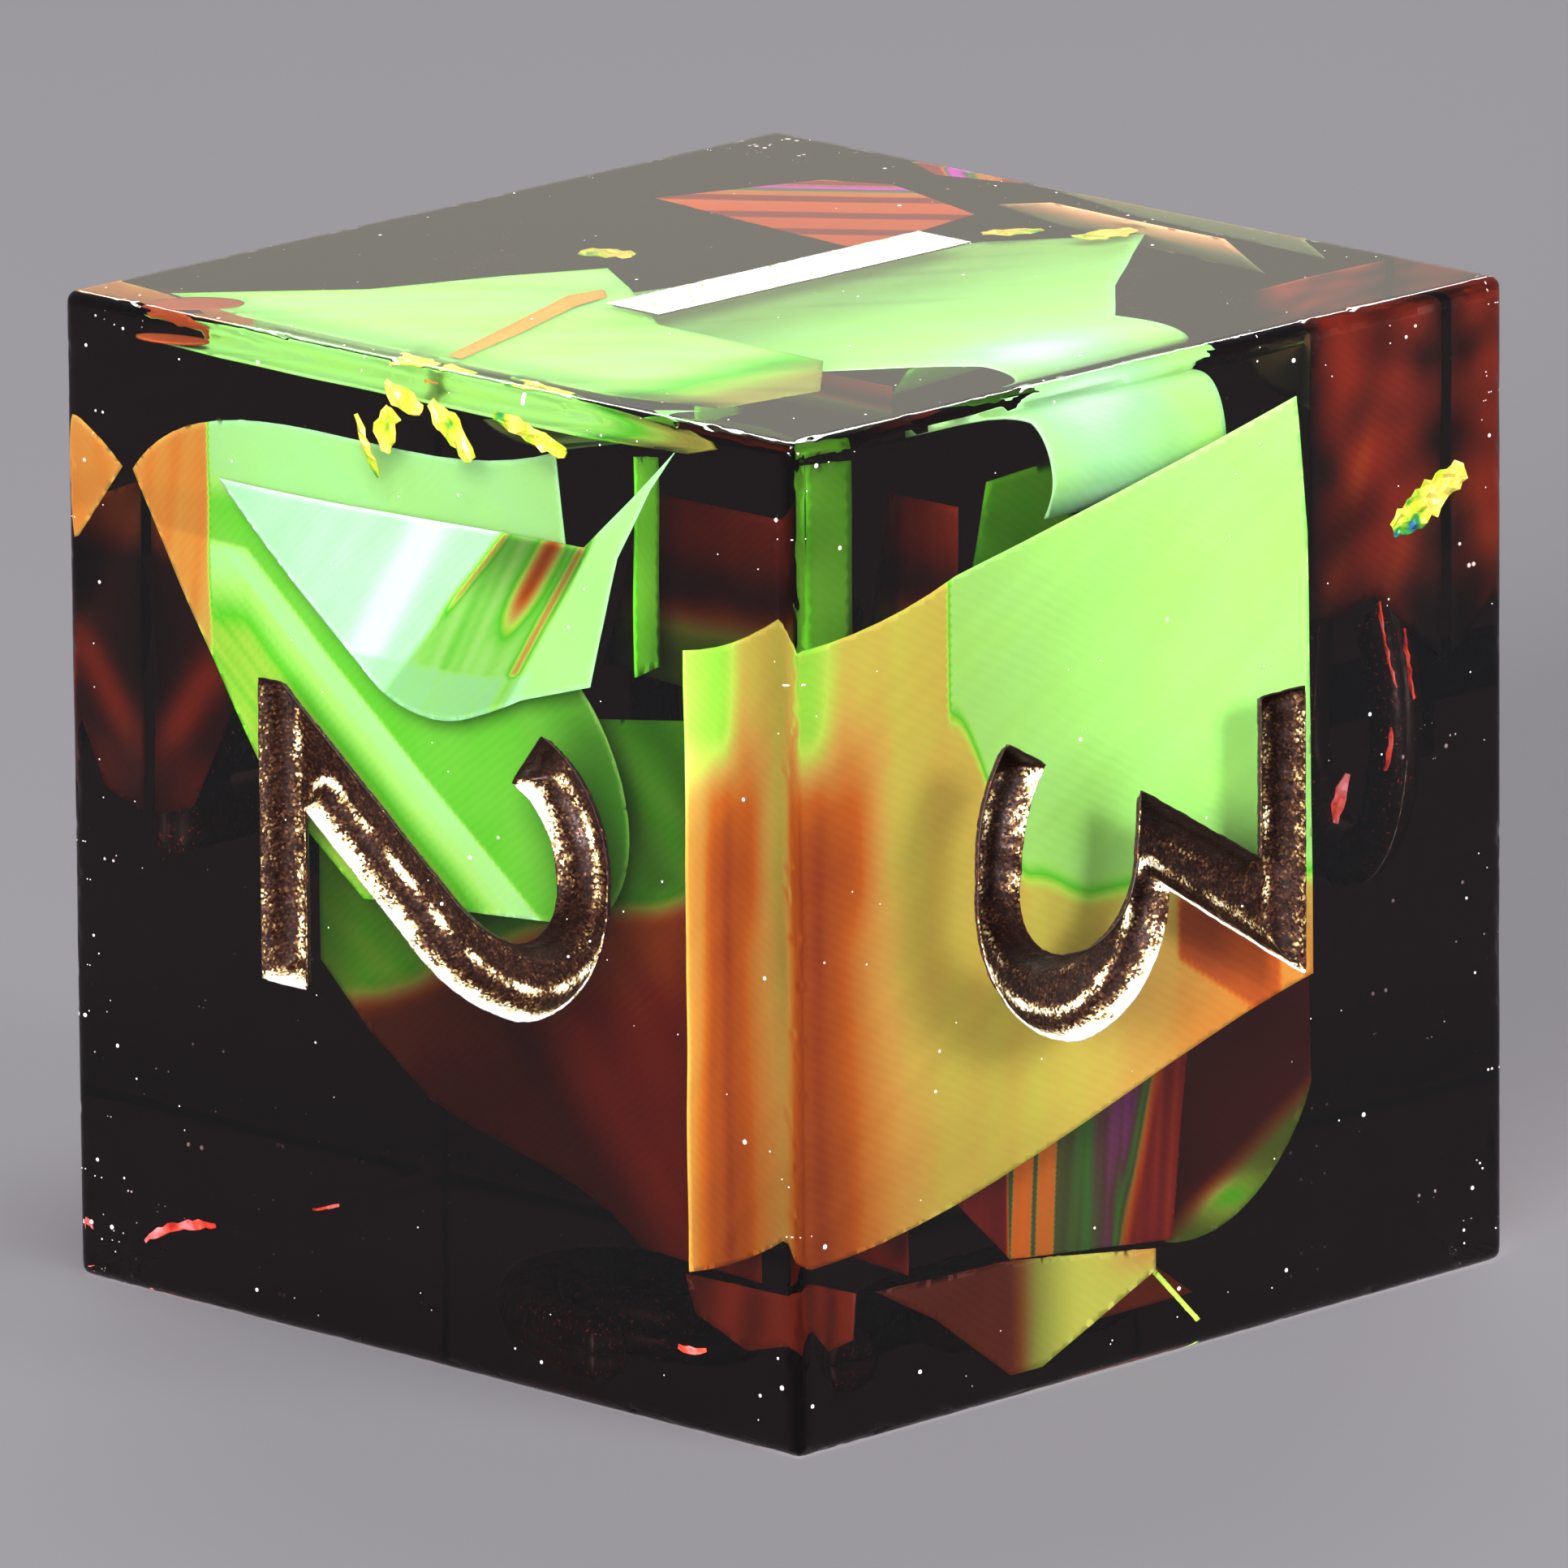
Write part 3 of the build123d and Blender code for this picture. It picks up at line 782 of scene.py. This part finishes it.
def inner_shade(x, y, z):
    """Faint arcs in the green, a dark lower left, and a glow at the lower right."""
    rise = above_inner_line(x, z)
    arcs = 0.5 + 0.5 * np.sin(4.5 * np.hypot(x + 1.0, z - 6.0))
    value = blend(0.75, 0.80 - 0.30 * arcs * smooth_step(0, 2, x), smooth_step(-0.1, 0.1, rise))
    lower_left = 0.75 * smooth_step(0.4, -1.4, x - 3.0 + 0.9 * (z - 3.0)) * smooth_step(0.3, -0.6, rise)
    return value * (1 - lower_left) + 0.20 * bump(x, 4.8, 0.7) * smooth_step(0, -1, rise)


def top_sheet_tint(x, y, z):
    """Light green with a pale glow where the sheet turns down."""
    return 0.76 + 0.03 * streaks(x, y, 60, 0.5, 5, 73) + 0.14 * blob(x, y, (5.7, -0.2), (0.9, 1.6))


def top_sheet_shade(x, y, z):
    """Nearly even, with a few broad darker smears."""
    return 0.98 - 0.30 * np.clip(streaks(x, y, 55, 0.5, 3, 74) - 0.2, 0, 1)


def top_left_tint(x, y, z):
    """Light green, streaked, and brownish towards the front corner."""
    return 0.74 + 0.04 * streaks(x, y, 50, 0.6, 5, 75) - 0.34 * smooth_step(2.4, 4.8, x)


def top_left_shade(x, y, z):
    """Smeared, and darker towards the front corner and the front edge."""
    smears = 0.40 * np.clip(streaks(x, y, 40, 0.5, 3, 76) - 0.1, 0, 1)
    return 0.86 - 0.8 * smears - 0.50 * smooth_step(2.4, 4.8, x) - 0.36 * smooth_step(-5.9, -6.8, y)


def olive_tint(x, y, z):
    """Maroon at the top, olive green at the foot."""
    return 0.09 + 0.03 * streaks(x, z, 70, 0.5, 3, 71) + 0.46 * smooth_step(12.5, 11.6, z)


def olive_shade(x, y, z):
    """A dark belt between the two hues, and dark towards the side."""
    belt = bump(z - 12.6 + 0.12 * cloud(x, y, z, 0.8, 72), 0, 0.55)
    return (0.62 - 0.50 * belt - 0.30 * smooth_step(11.9, 11.3, z)) * smooth_step(1.2, 2.6, x)


def orange_stripes(y, z):
    """1 on each of the two leaning stripes of the striped offcut, with soft edges."""
    away = [np.abs(y + place - 0.06 * (z - 2.5)) for place in (1.93, 1.40)]
    return smooth_step(0.24, 0.20, away[0]), smooth_step(0.22, 0.18, away[1])


def striped_tint(x, y, z):
    """Two orange stripes near one side, then grey-green and violet, and dull red beyond."""
    first, second = orange_stripes(y, z)
    value = blend(0.12, 0.60, smooth_step(-2.3, -2.2, y))
    value = value + 0.26 * smooth_step(-0.9, 0.1, y) + 0.05 * streaks(y, z, 84, 0.12, 5, 61)
    value = blend(value, 0.72, blob(y, z, (0.35, 2.1), (0.25, 0.7)))
    red = smooth_step(0.5, 1.1, y - 0.28 * (z - 3.4))
    value = blend(value, 0.16 + 0.05 * streaks(y, z, 84, 0.15, 5, 62), red)
    return blend(blend(value, 0.385, first), 0.40, second)


def striped_shade(x, y, z):
    """Brightest on the two stripes."""
    return 0.50 + 0.30 * np.clip(sum(orange_stripes(y, z)), 0, 1) + 0.12 * streaks(y, z, 84, 0.2, 5, 63)


def round_tint(x, y, z):
    """Maroon above a slanting line, green below it."""
    green = smooth_step(2.7, 2.0, z - 0.55 * (y - 3.2))
    return 0.07 + 0.40 * green + 0.12 * blob(y, z, (3.0, 1.8), (0.6, 0.2))


def round_shade(x, y, z):
    """One bright spot near the foot."""
    return 0.20 + 0.7 * blob(y, z, (3.0, 1.8), (0.7, 0.3))


def corner_tint(x, y, z):
    """Dark red on the left, gold on the right."""
    return 0.10 + 0.305 * smooth_step(-3.0, -2.3, y) - 0.10 * blob(y, z, (0.2, 1.7), (0.7, 0.3))


def corner_shade(x, y, z):
    return 0.12 + 0.36 * smooth_step(-2.8, -1.2, y)


def green_strip_tint(x, y, z):
    return 0.61 + 0.03 * streaks(y, z, 90, 0.3, 5, 77)


def left_red_tint(x, y, z):
    """Dark red, orange-red at the top."""
    return 0.09 + 0.12 * smooth_step(11.2, 12.4, z)


def left_red_shade(x, y, z):
    """Glowing top, a dark middle, and a bright slanting flame under it."""
    flame = bump(z - 8.5 - 1.05 * (x + 7.7), 0, 0.45)
    clouds = 0.75 + 0.5 * cloud(x, y, z, 0.9, 85)
    level = 0.06 + 0.70 * smooth_step(11.2, 12.0, z) + 0.65 * flame + 0.25 * smooth_step(8.6, 7.6, z)
    return level * clouds * (0.25 + 0.75 * smooth_step(-7.9, -7.0, x))


def right_red_tint(x, y, z):
    return 0.07 + 0.05 * streaks(x + y, z, 70, 0.6, 2.5, 82)


def right_red_shade(x, y, z):
    """A cloudy glow in the middle that dies away towards every side."""
    clouds = np.clip(0.60 + 0.9 * cloud(x, y, z, 0.9, 83), 0.05, 1)
    across = smooth_step(4.8, 5.7, y) * (0.20 + 0.80 * smooth_step(7.9, 6.9, y))
    return clouds * across * smooth_step(9.6, 12.6, z) * 1.3


def front_red_shade(x, y, z):
    return 0.22 + 0.20 * streaks(x + y, z, 80, 0.6, 2.5, 84)


def ribbons(x, y, z):
    """Broad stripes across the scrap under the back of the top face: red, orange, gold and violet."""
    across = 0.80 * y - 0.62 * x
    band = 0.5 + 0.5 * np.cos(across * 5.2)
    hue = 0.33 + 0.12 * smooth_step(6.2, 9.6, across) + 0.56 * smooth_step(8.3, 8.7, across)
    return blend(0.16, hue, smooth_step(0.15, 0.40, band))


def back_tint(x, y, z):
    """Peach at the top, green at the foot."""
    return 0.15 + 0.7 * smooth_step(15.0, 14.0, z)


add_film("front_sheet", RIGHT, "film_green_orange", front_sheet_tint, front_sheet_shade,
         ripple=0.03, step=0.09, rim_highlight=0.04)
add_film("left_sheet", FRONT, "film_green", left_sheet_tint, left_sheet_shade,
         step=0.08, seed=2, rim_highlight=0.25)
add_film("mint_curl", FRONT, "film_mint", mint_tint, mint_shade, step=0.06, seed=3, rim_highlight=0.25)
add_film("inner_sheet", FRONT, "film_green", inner_tint, inner_shade, step=0.11, seed=4)
add_film("olive_sheet", FRONT, "film_olive", olive_tint, olive_shade, seed=5)
add_film("top_sheet", SLOPE, "film_green", top_sheet_tint, top_sheet_shade, step=0.12, seed=6, rim_highlight=0.25)
add_film("top_left_sheet", TOP, "film_green", top_left_tint, top_left_shade, step=0.12, ripple=0.02, seed=7)
add_film("striped_top_sheet", TOP, "film_striped", ribbons, 0.95, STRIPED, step=0.07, seed=8)
# Shades above 1 make the deep green strip and offcut send back more light than reaches them: a painted glow.
add_film("green_strip", RIGHT, "film_green", green_strip_tint, 2.4, seed=9)
add_film("dark_green_offcut", RIGHT, "film_green", 0.58, 1.8, seed=10)
add_film("striped_offcut", RIGHT, "film_striped", striped_tint, striped_shade, STRIPED, step=0.05, seed=11)
add_film("round_offcut", RIGHT, "film_green", round_tint, round_shade, step=0.10, seed=12, rim_highlight=0.08)
add_film("corner_offcut", RIGHT, "film_gold", corner_tint, corner_shade, step=0.10, seed=13)
add_film("lower_sliver", RIGHT, "film_gold", 0.12, 0.45, seed=14)
add_film("left_red_offcut", FRONT, "film_red", left_red_tint, left_red_shade, step=0.10, seed=15)
add_film("right_red_offcut", RIGHT, "film_red", right_red_tint, right_red_shade, seed=16)
add_film("front_red_offcut", FRONT, "film_red", 0.08, front_red_shade, seed=17)
add_film("back_offcut", BACK, "film_peach", back_tint, 0.95, PEACH_FILM, seed=18)
add_film("orange_strip", TOP, "film_orange", 0.26, 0.9, step=0.08, ripple=0.02, seed=19)
add_film("green_thread", RIGHT, "film_green", 0.46, 1.0, step=0.05, ripple=0.01, seed=20)
add_film("red_disc", TOP, "film_red", 0.12, 0.55, step=0.10, ripple=0.02, seed=21)


BIT_COLUMN = 0.12              # longest spacing of the mesh along a loose bit
BIT_ROW = 0.10                 # and across it
BIT_BEND = 0.08                # how far a bit may bend, as a share of its length
BIT_SWAY = 0.12                # how far its middle line may wander, as a share of its width
BIT_TAPER = 0.6                # how much narrower its ends are


def loose_bits(name):
    """Middle, long axis, width axis, length and width of each separate solid of a CAD node."""
    shape = welded(name)
    waiting = set(shape.verts)
    bits = []
    while waiting:
        found = {waiting.pop()}
        edge = set(found)
        while edge:
            edge = {e.other_vert(v) for v in edge for e in v.link_edges} - found
            found |= edge
        waiting -= found
        points = np.array(sorted(tuple(v.co) for v in found))
        middle = points.mean(0)
        _, _, axes = np.linalg.svd(points - middle)
        length, width = (np.ptp((points - middle) @ axis) for axis in axes[:2])
        bits.append((middle, axes[0], axes[1], length, width))
    shape.free()
    return sorted(bits, key=lambda bit: tuple(bit[0]))


def add_bits(name, slot, material, crumple):
    """Crumpled, ragged-edged scraps, one for each solid of the CAD node."""
    points, faces = [], []
    for middle, along, across, length, width in loose_bits(name):
        columns = max(5, int(length / BIT_COLUMN))
        rows = max(2, int(width / BIT_ROW))
        start = len(points)
        bend = rng.uniform(-1, 1) * length * BIT_BEND
        taper = 1 - np.abs(np.linspace(-1, 1, columns + 1)) ** 3 * BIT_TAPER
        ragged = rng.uniform(0.75, 1.25, columns + 1) * taper
        sway = rng.uniform(-BIT_SWAY, BIT_SWAY, columns + 1) * width
        out = np.cross(along, across)
        for i in range(columns + 1):
            for j in range(rows + 1):
                s, t = i / columns - 0.5, j / rows - 0.5
                aside = t * width * ragged[i] + sway[i] + bend * (1 - 4 * s * s)
                lift = rng.uniform(-crumple, crumple)
                points.append(middle + along * (s * length) + across * aside + out * lift)
        for i in range(columns):
            for j in range(rows):
                corner = start + i * (rows + 1) + j
                faces.append((corner, corner + rows + 1, corner + rows + 2, corner + 1))
    bits = add_mesh(f"{name}_bits", points, faces)
    bits.data.materials.append(material)
    thicken = bits.modifiers.new("film", "SOLIDIFY")
    thicken.thickness = FILM_THICKNESS * MM
    finish_piece(bits, slot, name)


add_bits("foil_flakes", "foil", FOIL, 0.05)
add_bits("red_flecks", "red_thread", THREAD, 0.03)

# ---------------------------------------------------------------- bubbles and dust caught in the surface, crowded by the edges as painted highlights

BUBBLE_COUNT = 420
BUBBLE_SMALLEST = 0.012        # radius of the smallest bubble
BUBBLE_GROWTH = 0.035          # added to it for the largest
BUBBLE_COVER = 0.01            # least resin between a bubble and the face
BUBBLE_DEEPEST = 0.8           # most resin added to that cover
BUBBLE_MARGIN = 0.25           # least distance from a bubble's middle to the cube's edge
EDGE_HIGHLIGHT_PLACES = (0.93, 0.99)     # shares of the way from a face's middle where a bubble by an edge lies, as a speck of painted edge highlight


def add_bubbles():
    """Pinhead bubbles just under every face but the bottom, thickest near the edges, where their white specks
    make painted dotted highlights.
    """
    ball = bmesh.new()
    bmesh.ops.create_icosphere(ball, subdivisions=1, radius=1.0)
    ball_points = np.array([v.co for v in ball.verts])
    ball_faces = [tuple(v.index for v in f.verts) for f in ball.faces]
    ball.free()
    points, faces = [], []
    for k in range(BUBBLE_COUNT):
        face = (FRONT, RIGHT, TOP, BACK, LEFT)[k % 5]
        spread = rng.uniform(-1, 1, 2)
        # Every third bubble goes by an edge, for the painted dotted highlights along the edges.
        if k % 3 == 0:
            spread[rng.integers(2)] = rng.choice((-1, 1)) * rng.uniform(*EDGE_HIGHLIGHT_PLACES)
        size = BUBBLE_SMALLEST + BUBBLE_GROWTH * rng.random() ** 4
        height = -size - BUBBLE_COVER - BUBBLE_DEEPEST * rng.random() ** 3
        middle = face.place(np.array([[*(spread * (HALF - BUBBLE_MARGIN)), height]]))[0]
        faces += [tuple(len(points) + i for i in f) for f in ball_faces]
        points += list(middle + ball_points * size)
    specks = add_mesh("trapped_bubbles", points, faces)
    specks.data.shade_smooth()
    specks.data.materials.append(BUBBLE)
    finish_piece(specks, "resin")


add_bubbles()

# ---------------------------------------------------------------- floor, light and camera

FLOOR_REACH = 1.5              # metres from the middle to each side
FLOOR_DROP = 0.01              # millimetres between the die and the floor, so that they don't share a plane
FLOOR_COLOUR = (0.120, 0.116, 0.125, 1)
SKY_COLOUR = (0.60, 0.58, 0.64, 1)
SKY_STRENGTH = 0.50
LAMP_DISTANCE = 0.7            # metres from the die

floor_mesh = bpy.data.meshes.new("floor")
corners = [(x * FLOOR_REACH, y * FLOOR_REACH, 0) for x, y in ((-1, -1), (1, -1), (1, 1), (-1, 1))]
floor_mesh.from_pydata(corners, [], [(0, 1, 2, 3)])
floor = bpy.data.objects.new("floor", floor_mesh)
bpy.context.scene.collection.objects.link(floor)
floor.location.z = -FLOOR_DROP * MM
floor_paint, tree, output = new_material("studio_floor")
shader = node(tree, "ShaderNodeBsdfPrincipled", Base_Color=FLOOR_COLOUR, Roughness=1.0,
              Specular_IOR_Level=0.0)
tree.links.new(shader.outputs["BSDF"], output.inputs["Surface"])
floor_mesh.materials.append(floor_paint)

world = bpy.data.worlds.new("studio")
bpy.context.scene.world = world
world.use_nodes = True
world.node_tree.nodes["Background"].inputs["Color"].default_value = SKY_COLOUR
world.node_tree.nodes["Background"].inputs["Strength"].default_value = SKY_STRENGTH


def soft_light(name, azimuth, elevation, size, power, colour=(1, 1, 1)):
    """A square soft box that faces the die and isn't seen through the resin."""
    lamp = bpy.data.lights.new(name, "AREA")
    lamp.size = size
    lamp.energy = power
    lamp.color = colour
    holder = bpy.data.objects.new(name, lamp)
    holder.visible_transmission = False
    bpy.context.scene.collection.objects.link(holder)
    a, e = math.radians(azimuth), math.radians(elevation)
    back = Vector((math.sin(a) * math.cos(e), -math.cos(a) * math.cos(e), math.sin(e)))
    holder.location = Vector((0, 0, HALF * MM)) + back * LAMP_DISTANCE
    holder.rotation_mode = "QUATERNION"
    holder.rotation_quaternion = (-back).to_track_quat("-Z", "Y")


soft_light("key_left", 22, 15, 0.24, 15.5)
soft_light("key_right", 110, 14, 0.20, 4.8)
soft_light("overhead", 60, 75, 0.26, 7.0)
soft_light("back", 224, 40, 0.30, 3.0)
soft_light("haze", 224.5, 14, 0.50, 0.34, (1.0, 0.93, 0.66))

# The camera stands 344 mm away with a long lens, turned to look at the edge between the 2 and the 3.
CAMERA_AZIMUTH = 44.55         # degrees
CAMERA_ELEVATION = 13.99       # degrees
CAMERA_ROLL = -0.48            # degrees
CAMERA_DISTANCE = 344.3        # millimetres
CAMERA_LENS = 501.4            # focal length in millimetres, on a 36 mm sensor
AIM_RIGHT = -0.056             # millimetres that the whole camera is moved aside
AIM_UP = -0.101                # and up

camera_data = bpy.data.cameras.new("camera")
camera_data.lens = CAMERA_LENS
camera_data.sensor_width = 36
camera_data.clip_start = 0.01
camera_data.clip_end = 10
camera = bpy.data.objects.new("camera", camera_data)
bpy.context.scene.collection.objects.link(camera)
bpy.context.scene.camera = camera
a, e, r = (math.radians(v) for v in (CAMERA_AZIMUTH, CAMERA_ELEVATION, CAMERA_ROLL))
back = Vector((math.sin(a) * math.cos(e), -math.cos(a) * math.cos(e), math.sin(e)))
level = Vector((0, 0, 1)).cross(back).normalized()
upright = back.cross(level)
right = level * math.cos(r) + upright * math.sin(r)
up = upright * math.cos(r) - level * math.sin(r)
place = Vector((0, 0, HALF)) + back * CAMERA_DISTANCE + right * AIM_RIGHT + up * AIM_UP
camera.matrix_world = Matrix.Translation(place * MM) @ Matrix((right, up, back)).transposed().to_4x4()

bpy.context.scene.view_settings.view_transform = "Standard"
bpy.context.scene.cycles.max_bounces = 24
bpy.context.scene.cycles.transmission_bounces = 16
bpy.context.scene.cycles.transparent_max_bounces = 24
